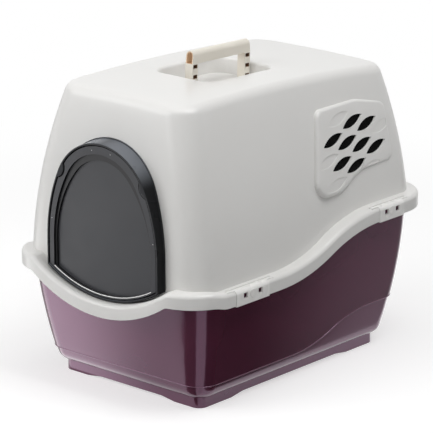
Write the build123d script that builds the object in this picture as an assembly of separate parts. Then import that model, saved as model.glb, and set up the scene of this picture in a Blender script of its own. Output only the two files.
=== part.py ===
"""Covered litter box: a deep tray on four corner feet, a vented hood that drops over the tray's
rim, a swing flap in a black collar, four swing clips on the hood's skirt, and a carry handle.

Frame: millimetres, +Z up, the door faces -Y, the object stands on Z = 0 and is symmetric about
the plane X = 0. A size named "half" runs from that plane or from the middle line in Y.
"""

from math import asin, cos, degrees, sqrt
import os

from build123d import *

# Hood flange and skirt: the widest outline of the object
FLANGE_HALF_X = 177.3
FLANGE_HALF_Y = 250.0
FLANGE_CORNER = 68.0
FLANGE_HEIGHT = 20.0
FLANGE_PLATE = 3.7
FLANGE_EDGE_ROUND = 6.0
SKIRT_WALL = 2.5
SEAT_GAP = 0.3

# Rim line, where hood and tray meet: heights of the lower edge of the skirt
RIM_FRONT = 156.0
RIM_LOW = 152.5
RIM_REAR = 198.5
RIM_DIP = 117.5
DIP_RADIUS = 205.0
DIP_SHOULDER_RADIUS = 12.0
RIM_FRONT_DEPTH = 36.0
RIM_LOW_START_Y = -188.0
RIM_LOW_END_Y = -85.0
RIM_REAR_START_Y = 125.0

# Hood shell: a foot outline and a roof outline, joined by walls that bulge a little
HOOD_WALL = 2.6
HOOD_REF_Z = 150.0
HOOD_INSET_X = 15.8
HOOD_INSET_Y = 22.0
HOOD_FOOT_CORNER = 36.0
HOOD_ROOF_Z = 402.0
HOOD_DRAFT_X = 46.5
HOOD_DRAFT_Y = 20.0
HOOD_ROOF_CORNER = 38.0
HOOD_SIDE_BULGE = 8.5
HOOD_END_BULGE = 8.0
HOOD_CENTER_Y = 2.0
ROOF_CROWN_Y = -106.0
ROOF_CROWN_Z = 411.4
ROOF_DOME_RADIUS = 2900.0
ROOF_EDGE_ROUND = 17.0

# Tray shell
TRAY_WALL = 2.8
TRAY_UNDERSIDE_Z = 14.0
TRAY_FLOOR = 3.0
TRAY_REF_Z = 205.0
TRAY_INSET_X = 17.8
TRAY_INSET_Y = 31.5
TRAY_DRAFT = 24.9
TRAY_BULGE = 4.7
TRAY_FOOT_CORNER = 28.0
TRAY_TOP_CORNER = 30.0
TRAY_CENTER_Y = -3.0
TRAY_BOTTOM_ROUND = 19.0
BAND_PROUD = 1.8
BAND_FRONT_Z = 35.5
BAND_REAR_Z = 70.5
BAND_RISE_START_Y = -18.0
BAND_RISE_END_Y = 138.0
LIP_SIDE_GAP = 0.8
LIP_PLATE = 3.0
BEAD_HEIGHT = 8.0
BEAD_WALL = 2.2

# Plinth and corner feet
PLINTH_INSET = 10.7
PLINTH_CORNER = 13.0
PLINTH_WALL = 3.0
PLINTH_RELIEF = 3.4
FOOT_LENGTH_X = 45.0
FOOT_LENGTH_Y = 62.0
FOOT_SLOPE = 24.0

# Doorway: collar and flap share one outline of arcs
DOOR_SET_BACK = 10.0
DOOR_HALF_X = 96.5
DOOR_SIDE_TOP_Z = 205.0
DOOR_ARCH_Z = 265.0
DOOR_ARCH_RADIUS = 83.0
DOOR_SILL_RISE = 3.5
COLLAR_WALL = 2.4
COLLAR_DEPTH = 30.0
COLLAR_FLARE = 2.4
COLLAR_REAR_WALL = 1.2
COLLAR_FIT = 0.25
COLLAR_LIP_WIDTH = 1.3
COLLAR_LIP_THICKNESS = 1.6
COLLAR_LIP_SEAT = 0.1
COLLAR_LUG = 1.4
COLLAR_LUG_LENGTH = 16.0
COLLAR_LUG_DEPTH = 3.0
HINGE_Z = 306.0
BOSS_CENTER_X = 81.5
BOSS_RADIUS = 14.3
BOSS_THICKNESS = 9.0
PIN_RADIUS = 1.7
PIN_FIT = 0.08
PIN_LENGTH = 7.5
PIN_END_GAP = 0.5
PIN_SET_BACK = 5.4

# Swing flap
FLAP_GAP = 1.5
FLAP_SET_BACK = 0.8
FLAP_THICKNESS = 3.8
FLAP_BORDER = 7.5
FLAP_TOP_BORDER = 10.8
FLAP_FOOT_BORDER = 2.6
FLAP_STEP_WIDTH = 3.0
FLAP_TOP_STEP = 8.6
FLAP_FOOT_STEP = 0.8
FLAP_STEP_DEPTH = 2.8
FLAP_PANEL = 2.0
FLAP_RECESS_WALL = 2.0

# Vent panels in the hood's sides: outline corners as (Y, Z), each with its own rounding
VENT_OUTLINE = ((10.2, 246.0), (37.5, 361.5), (122.0, 361.5), (184.0, 347.0), (184.0, 266.5),
                (112.0, 266.5), (66.0, 246.0))
VENT_ROUNDINGS = (22.0, 14.0, 60.0, 14.0, 12.0, 40.0, 24.0)
VENT_INNER_X = 100.0
VENT_RAISE = 7.5
VENT_FADE_ANGLE = 1.9
VENT_EDGE_ROUND = 5.0
VENT_RIM = 5.0
FACES_SIDE = 0.8
SLOT_LENGTH = 46.0
SLOT_WIDTH = 13.6
SLOT_TILT = 13.5
SLOT_START_Y = 90.0
SLOT_START_Z = 310.0
SLOT_ROW_Y = 29.4
SLOT_ROW_Z = -8.6
SLOT_COLUMN_Y = -17.2
SLOT_COLUMN_Z = -24.9
SLOT_CELLS = ((0, -1), (1, -1), (-1, 0), (0, 0), (1, 0), (2, 0), (0, 1), (1, 1))
DIMPLE_CELLS = ((-1, -1), (2, -1), (-1, 1), (2, 1), (0, 2))
DIMPLE_DEPTH = 0.7

# Charcoal filter and its holder, inside each side
PAD_CENTER_Y = 104.0
PAD_CENTER_Z = 306.0
PAD_LENGTH = 150.0
PAD_HEIGHT = 96.0
PAD_CORNER = 10.0
PAD_THICKNESS = 5.0
PAD_FIT = 0.3
HOLDER_BORDER = 7.0
HOLDER_FACE = 2.0
HOLDER_BAR = 5.0
HOLDER_BAR_COUNT = 3
HOOK_LENGTH = 12.0
HOOK_WALL = 2.4
HOOK_NOSE = 1.6
HOOK_SPACING = 90.0

# Finger pocket in the roof and the carry handle in it
POCKET_HALF_X = 52.0
POCKET_HALF_Y = 60.0
POCKET_FRONT_EXTRA = 14.0
POCKET_CORNER = 22.0
POCKET_DEPTH = 24.0
POCKET_CENTER_Y = -10.0
POCKET_EDGE_ROUND = 4.0
HANDLE_RISE = 30.6
HANDLE_LENGTH = 116.2
HANDLE_WIDTH = 13.4
HANDLE_BAR_HEIGHT = 17.3
HANDLE_END_SLOPE = 0.1
HANDLE_WALL = 2.0
LEG_LENGTH = 10.4
LEG_FIT = 0.3
LEG_HOOK = 2.6
LEG_HOOK_HEIGHT = 6.0
LEG_HOOK_GAP = 0.4
LEG_WALL = 1.2
LEG_WINDOW_HEIGHT = 5.3
LEG_WINDOW_PITCH = 13.9
LEG_WINDOW_DEPTH = 8.0

# Swing clips, two on each side
CLIP_FRONT_INSET = 107.5
CLIP_REAR_INSET = 103.0
CLIPS = {
    "front": (CLIP_FRONT_INSET - FLANGE_HALF_Y, 65.0, RIM_LOW),
    "rear": (FLANGE_HALF_Y - CLIP_REAR_INSET, 52.0, RIM_REAR),
}
CLIP_EAR = 12.0
CLIP_GAP = 0.35
CLIP_PROUD = 0.7
CLIP_WALL = 2.8
CLIP_DROP = 1.5
CLIP_AXIS_INSET = 9.1
CLIP_AXIS_DROP = 1.85
CLIP_KNUCKLE = 1.8
CLIP_EAR_REACH = 5.0
CLIP_PIN_RADIUS = 1.0
CLIP_PIN_FIT = 0.08
CLIP_PIN_LENGTH = 3.5
CLIP_NOSE = 0.9
CLIP_NOSE_HEIGHT = 4.0
CLIP_NOSE_GAP = 0.35
CLIP_WINDOW_LENGTH = 8.0
CLIP_WINDOW_HEIGHT = 7.5
CLIP_WINDOW_RISE = 10.5
CLIP_WINDOW_SHARE = 0.45
CLIP_NUB_RADIUS = 6.0
CLIP_NUB_PROUD = 0.6

# How far construction solids run past the object
REACH = 320.0

# Sizes that follow from the ones above
HOOD_FOOT_HALF_X = FLANGE_HALF_X - HOOD_INSET_X
HOOD_FOOT_HALF_Y = FLANGE_HALF_Y - HOOD_INSET_Y
HOOD_ROOF_HALF_X = HOOD_FOOT_HALF_X - HOOD_DRAFT_X
HOOD_ROOF_HALF_Y = HOOD_FOOT_HALF_Y - HOOD_DRAFT_Y
TRAY_TOP_HALF_X = FLANGE_HALF_X - TRAY_INSET_X
TRAY_TOP_HALF_Y = FLANGE_HALF_Y - TRAY_INSET_Y
TRAY_FOOT_HALF_X = TRAY_TOP_HALF_X - TRAY_DRAFT
TRAY_FOOT_HALF_Y = TRAY_TOP_HALF_Y - TRAY_DRAFT
PLINTH_HALF_X = TRAY_FOOT_HALF_X - PLINTH_INSET
PLINTH_HALF_Y = TRAY_FOOT_HALF_Y - PLINTH_INSET
RIM_FRONT_END_Y = RIM_FRONT_DEPTH - FLANGE_HALF_Y
RIM_TOP = FLANGE_HEIGHT - FLANGE_PLATE - SEAT_GAP
COLUMN_TOP = max(RIM_FRONT, RIM_LOW, RIM_REAR) + 2 * FLANGE_HEIGHT
DIP_CENTER_Z = RIM_DIP + DIP_RADIUS
DOOR_FRONT_Y = DOOR_SET_BACK - FLANGE_HALF_Y
DOOR_FOOT_RADIUS = DIP_RADIUS - FLANGE_HEIGHT - DOOR_SILL_RISE
COLLAR_REAR = COLLAR_WALL + COLLAR_FLARE
PIN_Y = DOOR_FRONT_Y + FLAP_SET_BACK + PIN_SET_BACK
POCKET_TILT = asin((POCKET_CENTER_Y - ROOF_CROWN_Y) / ROOF_DOME_RADIUS)
POCKET_TOP_Z = ROOF_CROWN_Z - ROOF_DOME_RADIUS * (1 - cos(POCKET_TILT))
HANDLE_BAR_FOOT = HANDLE_RISE - HANDLE_BAR_HEIGHT
CLIP_AXIS_X = FLANGE_HALF_X - CLIP_AXIS_INSET


def block(x0, x1, y0, y1, z0, z1):
    """Box between two corners."""
    middle = Pos((x0 + x1) / 2, (y0 + y1) / 2, (z0 + z1) / 2)
    return middle * Box(x1 - x0, y1 - y0, z1 - z0)


def front_plane(y):
    """Sketch plane at y with X to the right and Z up; it extrudes towards the front."""
    return Plane(origin=(0, y, 0), x_dir=(1, 0, 0), z_dir=(0, -1, 0))


def side_plane(x):
    """Sketch plane at x with Y to the right and Z up; it extrudes towards +X."""
    return Plane(origin=(x, 0, 0), x_dir=(0, 1, 0), z_dir=(1, 0, 0))


def plan(half_x, half_y, corner, z, center_y=0.0):
    """Rounded rectangle at height z."""
    return Pos(0, center_y, z) * RectangleRounded(2 * half_x, 2 * half_y, corner)


def column(inset):
    """Upright block with the flange's outline moved inwards, to be trimmed by the rim line."""
    outline = plan(FLANGE_HALF_X - inset, FLANGE_HALF_Y - inset, FLANGE_CORNER - inset, 0)
    return extrude(outline, COLUMN_TOP)


def s_curve(start, end):
    """Two equal arcs from start to end, level at both ends."""
    middle = ((start[0] + end[0]) / 2, (start[1] + end[1]) / 2)
    return TangentArc(start, middle, tangent=(1, 0)) + TangentArc(end, middle, tangent=(-1, 0))


def below_rim(level):
    """Everything under the rim line raised by level: a front block and a side block."""
    top = RIM_FRONT + level
    span = DIP_RADIUS + DIP_SHOULDER_RADIUS
    rise = DIP_CENTER_Z - (RIM_FRONT - DIP_SHOULDER_RADIUS)
    shoulder_x = sqrt(span**2 - rise**2)
    share = DIP_SHOULDER_RADIUS / span
    touch_x = shoulder_x * (1 - share)
    touch_z = top - DIP_SHOULDER_RADIUS + rise * share
    front = (
        Line((-REACH, top), (-shoulder_x, top))
        + TangentArc((-shoulder_x, top), (-touch_x, touch_z), tangent=(1, 0))
        + ThreePointArc((-touch_x, touch_z), (0, RIM_DIP + level), (touch_x, touch_z))
        + TangentArc((shoulder_x, top), (touch_x, touch_z), tangent=(-1, 0))
        + Line((shoulder_x, top), (REACH, top))
        + Polyline((REACH, top), (REACH, -REACH), (-REACH, -REACH), (-REACH, top))
    )
    front_block = extrude(front_plane(RIM_FRONT_END_Y) * make_face(front), REACH)

    low = RIM_LOW + level
    rear = RIM_REAR + level
    side = (
        s_curve((RIM_FRONT_END_Y, top), (RIM_LOW_START_Y, low))
        + Line((RIM_LOW_START_Y, low), (RIM_LOW_END_Y, low))
        + s_curve((RIM_LOW_END_Y, low), (RIM_REAR_START_Y, rear))
        + Line((RIM_REAR_START_Y, rear), (REACH, rear))
        + Polyline((REACH, rear), (REACH, -REACH), (RIM_FRONT_END_Y, -REACH), (RIM_FRONT_END_Y, top))
    )
    return front_block + extrude(side_plane(-REACH) * make_face(side), 2 * REACH)


def below_band():
    """Everything under the styling step that runs round the tray and climbs towards the rear."""
    side = (
        Line((-REACH, BAND_FRONT_Z), (BAND_RISE_START_Y, BAND_FRONT_Z))
        + s_curve((BAND_RISE_START_Y, BAND_FRONT_Z), (BAND_RISE_END_Y, BAND_REAR_Z))
        + Line((BAND_RISE_END_Y, BAND_REAR_Z), (REACH, BAND_REAR_Z))
        + Polyline((REACH, BAND_REAR_Z), (REACH, -REACH), (-REACH, -REACH), (-REACH, BAND_FRONT_Z))
    )
    return extrude(side_plane(-REACH) * make_face(side), 2 * REACH)


def bulged(foot, top, bulge, share):
    """Size at a share of the height: a straight taper plus a parabola that bulges the wall."""
    return foot + (top - foot) * share + 4 * bulge * share * (1 - share)


def hood_share(z):
    """Height z as a share of the way from the hood's foot outline to its roof outline."""
    return (z - HOOD_REF_Z) / (HOOD_ROOF_Z - HOOD_REF_Z)


def hood_half_x(z):
    """Half width of the hood's outer wall at height z."""
    return bulged(HOOD_FOOT_HALF_X, HOOD_ROOF_HALF_X, HOOD_SIDE_BULGE, hood_share(z))


def hood_half_y(z):
    """Half length of the hood's outer wall at height z."""
    return bulged(HOOD_FOOT_HALF_Y, HOOD_ROOF_HALF_Y, HOOD_END_BULGE, hood_share(z))


def hood_form(grow):
    """The hood's outer shape as a solid, with every face moved outwards by grow."""
    foot_z = RIM_DIP - BEAD_HEIGHT
    top_z = HOOD_ROOF_Z + FLANGE_HEIGHT
    steps = 4
    sections = []
    for step in range(steps + 1):
        z = foot_z + (top_z - foot_z) * step / steps
        corner = bulged(HOOD_FOOT_CORNER, HOOD_ROOF_CORNER, 0, hood_share(z)) + grow
        sections.append(plan(hood_half_x(z) + grow, hood_half_y(z) + grow, corner, z, HOOD_CENTER_Y))
    center = Pos(0, ROOF_CROWN_Y, ROOF_CROWN_Z - ROOF_DOME_RADIUS)
    dome = center * Rot(0, 90, 0) * Sphere(ROOF_DOME_RADIUS + grow)
    form = loft(sections) & dome
    rim = [edge for edge in form.edges() if edge.center().Z > HOOD_ROOF_Z - 2 * FLANGE_HEIGHT]
    return fillet(rim, ROOF_EDGE_ROUND + grow)


def tray_form(grow, foot_z):
    """The tray's outer shape as a solid from foot_z up, with its walls moved outwards by grow."""
    steps = 3
    sections = []
    for step in range(steps + 1):
        z = foot_z + (COLUMN_TOP - foot_z) * step / steps
        share = (z - TRAY_UNDERSIDE_Z) / (TRAY_REF_Z - TRAY_UNDERSIDE_Z)
        half_x = bulged(TRAY_FOOT_HALF_X, TRAY_TOP_HALF_X, TRAY_BULGE, share) + grow
        half_y = bulged(TRAY_FOOT_HALF_Y, TRAY_TOP_HALF_Y, TRAY_BULGE, share) + grow
        corner = bulged(TRAY_FOOT_CORNER, TRAY_TOP_CORNER, 0, share) + grow
        sections.append(plan(half_x, half_y, corner, z, TRAY_CENTER_Y))
    form = loft(sections)
    foot_edges = form.faces().sort_by(Axis.Z)[0].edges()
    return fillet(foot_edges, TRAY_BOTTOM_ROUND + grow)


def plinth():
    """Skirt ring under the tray; its relief between the corners leaves four L-shaped feet."""
    outer = plan(PLINTH_HALF_X, PLINTH_HALF_Y, PLINTH_CORNER, 0, TRAY_CENTER_Y)
    inner = plan(
        PLINTH_HALF_X - PLINTH_WALL, PLINTH_HALF_Y - PLINTH_WALL, PLINTH_CORNER - PLINTH_WALL, 0, TRAY_CENTER_Y
    )
    ring = extrude(outer - inner, TRAY_UNDERSIDE_Z + TRAY_FLOOR)
    for half, foot, plane, middle in (
        (PLINTH_HALF_X, FOOT_LENGTH_X, front_plane(REACH), 0),
        (PLINTH_HALF_Y, FOOT_LENGTH_Y, side_plane(-REACH), TRAY_CENTER_Y),
    ):
        wide = half - foot
        narrow = wide - FOOT_SLOPE
        relief = Polyline(
            (middle - wide, 0), (middle - narrow, PLINTH_RELIEF), (middle + narrow, PLINTH_RELIEF),
            (middle + wide, 0), close=True,
        )
        ring -= extrude(plane * make_face(relief), 2 * REACH)
    return ring


def make_base_pan():
    """Tray with its styling step, rolled rim lip and plinth."""
    cavity = tray_form(-TRAY_WALL, TRAY_UNDERSIDE_Z + TRAY_FLOOR)
    rim = below_rim(RIM_TOP)
    lip = column(SKIRT_WALL + LIP_SIDE_GAP)
    lip_plate = lip & (rim - below_rim(RIM_TOP - LIP_PLATE))
    bead = (lip - column(SKIRT_WALL + LIP_SIDE_GAP + BEAD_WALL)) & (rim - below_rim(RIM_TOP - BEAD_HEIGHT))
    wall = tray_form(0, TRAY_UNDERSIDE_Z) + (tray_form(BAND_PROUD, TRAY_UNDERSIDE_Z) - below_band())
    return ((wall & rim) + lip_plate + bead + plinth()) - cavity


def door_face(inset, top_inset, foot_inset):
    """Door outline moved inwards: an arch, two long side arcs, upright sides and a sagging foot."""
    half = DOOR_HALF_X - inset
    arch = DOOR_ARCH_RADIUS - top_inset
    foot = DOOR_FOOT_RADIUS - foot_inset
    rise = DOOR_ARCH_Z - DOOR_SIDE_TOP_Z
    side = (half**2 + rise**2 - arch**2) / (2 * (half - arch))
    share = arch / (side - arch)
    touch = ((side - half) * share, DOOR_ARCH_Z + rise * share)
    foot_z = DIP_CENTER_Z - sqrt(foot**2 - half**2)
    right = Line((half, foot_z), (half, DOOR_SIDE_TOP_Z)) + TangentArc(
        (half, DOOR_SIDE_TOP_Z), touch, tangent=(0, 1)
    )
    left = Line((-half, foot_z), (-half, DOOR_SIDE_TOP_Z)) + TangentArc(
        (-half, DOOR_SIDE_TOP_Z), (-touch[0], touch[1]), tangent=(0, 1)
    )
    top = ThreePointArc(touch, (0, DOOR_ARCH_Z + arch), (-touch[0], touch[1]))
    bottom = ThreePointArc((-half, foot_z), (0, DIP_CENTER_Z - foot), (half, foot_z))
    return make_face(right + left + top + bottom)


def door_tube(front_grow, rear_grow, foot_grow):
    """Solid over the door outline from the collar's front to its rear, grown at each end."""
    front = front_plane(DOOR_FRONT_Y) * door_face(-front_grow, -front_grow, -foot_grow)
    rear = front_plane(DOOR_FRONT_Y + COLLAR_DEPTH) * door_face(-rear_grow, -rear_grow, -foot_grow)
    return loft([front, rear], ruled=True)


def hinge_circles(grow):
    """Two circles round the hinge bosses, left and right."""
    circle = Circle(BOSS_RADIUS + grow)
    return Pos(BOSS_CENTER_X, HINGE_Z) * circle + Pos(-BOSS_CENTER_X, HINGE_Z) * circle


def make_door_frame():
    """Collar through the hood's front wall, with a lip on the wall, lugs behind it and bosses."""
    outside = door_tube(COLLAR_WALL, COLLAR_REAR, COLLAR_WALL)
    collar = outside - door_tube(0, COLLAR_REAR - COLLAR_REAR_WALL, 0)
    bosses = extrude(front_plane(DOOR_FRONT_Y) * hinge_circles(0), -BOSS_THICKNESS)
    collar += bosses & outside
    core = door_tube(COLLAR_WALL / 2, COLLAR_REAR - COLLAR_REAR_WALL / 2, COLLAR_WALL)
    lip_tube = door_tube(COLLAR_WALL + COLLAR_LIP_WIDTH, COLLAR_REAR + COLLAR_LIP_WIDTH, COLLAR_WALL / 2)
    lip = lip_tube - core
    collar += lip & (hood_form(COLLAR_LIP_THICKNESS) - hood_form(COLLAR_LIP_SEAT))
    pin_room = PIN_RADIUS + PIN_FIT
    pin_reach = BOSS_CENTER_X - BOSS_RADIUS - FLAP_GAP + PIN_LENGTH + PIN_END_GAP
    collar -= Pos(0, PIN_Y, HINGE_Z) * Rot(0, 90, 0) * Cylinder(pin_room, 2 * pin_reach)
    for height in (DOOR_SIDE_TOP_Z, HINGE_Z - 2 * BOSS_RADIUS):
        wall_y = HOOD_CENTER_Y - hood_half_y(height + COLLAR_LUG_LENGTH / 2) + HOOD_WALL
        lug = block(
            -REACH, REACH, wall_y + SEAT_GAP, wall_y + SEAT_GAP + COLLAR_LUG_DEPTH,
            height - COLLAR_LUG_LENGTH / 2, height + COLLAR_LUG_LENGTH / 2,
        )
        collar += lug & (door_tube(COLLAR_WALL + COLLAR_LUG, COLLAR_REAR + COLLAR_LUG, COLLAR_WALL) - core)
    return collar


def flap_face(inset, top_inset, foot_inset, notch_gap):
    """Flap outline moved inwards, notched round the two hinge bosses."""
    outline = door_face(FLAP_GAP + inset, FLAP_GAP + top_inset, FLAP_GAP + foot_inset)
    return outline - hinge_circles(notch_gap)


def make_door_flap():
    """Swing flap: a flat border, two steps down to the panel and a pivot stub at each side."""
    plane = front_plane(DOOR_FRONT_Y + FLAP_SET_BACK)
    border = (FLAP_BORDER, FLAP_TOP_BORDER, FLAP_FOOT_BORDER)
    step = (FLAP_STEP_WIDTH, FLAP_TOP_STEP, FLAP_FOOT_STEP)
    window = [edge + more for edge, more in zip(border, step)]
    carrier = [edge - FLAP_RECESS_WALL for edge in border]
    depth = 2 * FLAP_STEP_DEPTH
    rib = FLAP_GAP + FLAP_RECESS_WALL
    flap = extrude(plane * flap_face(0, 0, 0, FLAP_GAP), -FLAP_THICKNESS)
    flap += extrude(plane * flap_face(*carrier, FLAP_GAP), -(depth + FLAP_PANEL))
    flap -= extrude(plane * flap_face(*border, rib), -FLAP_STEP_DEPTH)
    flap -= extrude(plane * flap_face(*window, rib), -depth)
    notch_x = BOSS_CENTER_X - BOSS_RADIUS - FLAP_GAP
    root_x = notch_x - FLAP_RECESS_WALL
    tip_x = notch_x + PIN_LENGTH
    for side in (-1, 1):
        middle = side * (root_x + tip_x) / 2
        stub = Cylinder(PIN_RADIUS, tip_x - root_x)
        flap += Pos(middle, PIN_Y, HINGE_Z) * Rot(0, 90, 0) * stub
    return flap


def vent_outline(inset):
    """Outline of a vent panel as seen from the side, moved inwards by inset."""
    outline = make_face(FilletPolyline(*VENT_OUTLINE, radius=VENT_ROUNDINGS, close=True))
    return outline if inset == 0 else offset(outline, -inset)


def raised_form(grow):
    """Hood shape moved out and turned a little, so that the vent panel fades out at the rear."""
    return Rot(0, 0, VENT_FADE_ANGLE) * hood_form(VENT_RAISE + grow)


def slot_face(cell):
    """Pointed oval at a cell of the slanted vent pattern."""
    across, down = cell
    center_y = SLOT_START_Y + across * SLOT_ROW_Y + down * SLOT_COLUMN_Y
    center_z = SLOT_START_Z + across * SLOT_ROW_Z + down * SLOT_COLUMN_Z
    tip = SLOT_LENGTH / 2
    belly = SLOT_WIDTH / 2
    oval = make_face(
        ThreePointArc((-tip, 0), (0, belly), (tip, 0)) + ThreePointArc((tip, 0), (0, -belly), (-tip, 0))
    )
    return Pos(center_y, center_z) * Rot(0, 0, SLOT_TILT) * oval


def through_side(face):
    """Bar through the right side of the hood over a side-view face."""
    return extrude(side_plane(VENT_INNER_X) * face, REACH - VENT_INNER_X)


def both_sides(solid):
    """The solid and its mirror image on the left."""
    return solid + mirror(solid, about=Plane.YZ)


def vent_panel():
    """Raised panel of the right side as a full block, its front edges rounded."""
    panel = raised_form(0) & through_side(vent_outline(0))
    rim = []
    for face in panel.faces().filter_by(lambda face: face.normal_at().X > FACES_SIDE):
        rim += face.edges()
    return fillet(rim, VENT_EDGE_ROUND)


def on_roof(solid):
    """Place what is drawn about the handle's middle, with Z = 0 at the roof, square on the roof."""
    return Pos(0, POCKET_CENTER_Y, POCKET_TOP_Z) * Rot(-degrees(POCKET_TILT), 0, 0) * solid


def finger_pocket(grow):
    """Rounded pocket in the roof, longer to the front, its walls and floor moved outwards by grow."""
    half_y = POCKET_HALF_Y + POCKET_FRONT_EXTRA / 2
    outline = plan(POCKET_HALF_X + grow, half_y + grow, POCKET_CORNER + grow, -POCKET_DEPTH - grow)
    return on_roof(Pos(0, -POCKET_FRONT_EXTRA / 2, 0) * extrude(outline, 2 * POCKET_DEPTH))


def leg_centers():
    """Distance of the two handle legs from the pocket's middle."""
    half = (HANDLE_LENGTH - LEG_LENGTH) / 2
    return (-half, half)


def clip_room(place, length, skirt_z):
    """Space that the hood's flange leaves open for one clip on the right, pins included."""
    inner = CLIP_AXIS_X - CLIP_KNUCKLE - CLIP_GAP
    half = length / 2 + CLIP_GAP
    ear = half + CLIP_EAR
    low = skirt_z - FLANGE_HEIGHT
    high = skirt_z + 2 * FLANGE_HEIGHT
    axis_z = skirt_z + FLANGE_HEIGHT - CLIP_AXIS_DROP
    room = block(inner, REACH, place - half, place + half, low, high)
    room += block(
        inner, CLIP_AXIS_X + CLIP_EAR_REACH + 2 * CLIP_GAP, place - ear, place + ear, skirt_z + RIM_TOP, high
    )
    pin = Cylinder(CLIP_PIN_RADIUS + CLIP_PIN_FIT, 2 * (ear + CLIP_PIN_LENGTH))
    return room + Pos(CLIP_AXIS_X, place, axis_z) * Rot(90, 0, 0) * pin


def holder_hooks():
    """Hooks inside the right wall that hold the filter holder at its upper and lower edge."""
    outer = HOOD_WALL / 2
    face = HOOD_WALL + PAD_THICKNESS + 2 * PAD_FIT + HOLDER_FACE
    half = PAD_HEIGHT / 2 + HOLDER_BORDER + PAD_FIT
    post_zone = Sketch()
    nose_zone = Sketch()
    for y in (PAD_CENTER_Y - HOOK_SPACING / 2, PAD_CENTER_Y + HOOK_SPACING / 2):
        for side in (-1, 1):
            post = Pos(y, PAD_CENTER_Z + side * (half + HOOK_WALL / 2))
            nose = Pos(y, PAD_CENTER_Z + side * (half + (HOOK_WALL - HOOK_NOSE) / 2))
            post_zone += post * Rectangle(HOOK_LENGTH, HOOK_WALL)
            nose_zone += nose * Rectangle(HOOK_LENGTH, HOOK_WALL + HOOK_NOSE)
    posts = through_side(post_zone) & (hood_form(-outer) - hood_form(-face - PAD_FIT - HOOK_WALL))
    noses = through_side(nose_zone) & (hood_form(-face - PAD_FIT) - hood_form(-face - PAD_FIT - HOOK_WALL))
    return posts + noses


def make_hood():
    """Hood shell with flange and skirt, door opening, vent panels, finger pocket and clip rooms."""
    slab = below_rim(FLANGE_HEIGHT) - below_rim(0)
    flange = column(0) & slab
    upper = below_rim(0.75 * FLANGE_HEIGHT)
    outline = column(FLANGE_EDGE_ROUND / 2)
    top_edges = [
        edge for edge in flange.edges()
        if not upper.solid().is_inside(edge.center()) and not outline.solid().is_inside(edge.center())
    ]
    flange = fillet(top_edges, FLANGE_EDGE_ROUND)

    hood = hood_form(0) + flange + both_sides(vent_panel())
    hood -= column(SKIRT_WALL) & below_rim(RIM_TOP + SEAT_GAP)
    hood -= finger_pocket(0)
    pocket_rim = [
        edge for edge in hood.edges()
        if edge.center().Z > POCKET_TOP_Z - POCKET_DEPTH / 4
        and abs(edge.center().X) < POCKET_HALF_X + POCKET_EDGE_ROUND
        and abs(edge.center().Y - POCKET_CENTER_Y) < POCKET_HALF_Y + POCKET_FRONT_EXTRA + POCKET_EDGE_ROUND
    ]
    hood = fillet(pocket_rim, POCKET_EDGE_ROUND)

    vent_core = raised_form(-HOOD_WALL) & through_side(vent_outline(HOOD_WALL))
    hood -= (hood_form(-HOOD_WALL) + both_sides(vent_core)) - finger_pocket(HOOD_WALL)
    slots = through_side(Sketch() + [slot_face(cell) for cell in SLOT_CELLS])
    dimples = through_side(Sketch() + [slot_face(cell) for cell in DIMPLE_CELLS])
    dimples &= raised_form(0) - raised_form(-DIMPLE_DEPTH)
    dimples &= through_side(vent_outline(VENT_RIM))
    hood -= both_sides(slots + dimples)
    hood += both_sides(holder_hooks())

    hood -= door_tube(COLLAR_WALL + COLLAR_FIT, COLLAR_REAR + COLLAR_FIT, COLLAR_WALL + COLLAR_FIT)
    for y in leg_centers():
        slot = Box(HANDLE_WIDTH + 2 * LEG_FIT, LEG_LENGTH + 2 * LEG_FIT, POCKET_DEPTH)
        hood -= on_roof(Pos(0, y, -POCKET_DEPTH) * slot)
    for place, length, skirt_z in CLIPS.values():
        hood -= both_sides(clip_room(place, length, skirt_z))
    return hood


def make_carry_handle():
    """Hollow bar on two ladder-like legs with stop hooks under the pocket floor."""
    half = HANDLE_WIDTH / 2

    def bar_face(inset, foot_z):
        radius = half - inset
        shoulder = HANDLE_RISE - half
        outline = Polyline((-radius, shoulder), (-radius, foot_z), (radius, foot_z), (radius, shoulder))
        outline += ThreePointArc((-radius, shoulder), (0, shoulder + radius), (radius, shoulder))
        return make_face(outline)

    section = bar_face(0, HANDLE_BAR_FOOT) - bar_face(HANDLE_WALL, HANDLE_BAR_FOOT - HANDLE_WALL)
    end = HANDLE_LENGTH / 2
    lean = HANDLE_END_SLOPE * HANDLE_BAR_HEIGHT
    side_view = Polyline(
        (-end, HANDLE_BAR_FOOT), (lean - end, HANDLE_RISE), (end - lean, HANDLE_RISE),
        (end, HANDLE_BAR_FOOT), close=True,
    )
    handle = extrude(front_plane(end) * section, HANDLE_LENGTH)
    handle &= extrude(side_plane(-half) * make_face(side_view), HANDLE_WIDTH)
    hook_top = -POCKET_DEPTH - HOOD_WALL - LEG_HOOK_GAP
    leg_foot = hook_top - LEG_HOOK_HEIGHT
    windows = int((HANDLE_BAR_FOOT - leg_foot) / LEG_WINDOW_PITCH)
    for y in leg_centers():
        outward = 1 if y > 0 else -1
        leg = block(-half, half, y - LEG_LENGTH / 2, y + LEG_LENGTH / 2, leg_foot, HANDLE_BAR_FOOT)
        reach = y + outward * (LEG_LENGTH / 2 + LEG_HOOK)
        leg += block(-half, half, min(y, reach), max(y, reach), leg_foot, hook_top)
        side = LEG_LENGTH / 2 - LEG_WALL
        for count in range(windows):
            top = HANDLE_BAR_FOOT - count * LEG_WINDOW_PITCH - LEG_WALL
            leg -= block(half - LEG_WINDOW_DEPTH, half, y - side, y + side, top - LEG_WINDOW_HEIGHT, top)
        handle += leg
    return on_roof(handle)


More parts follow.
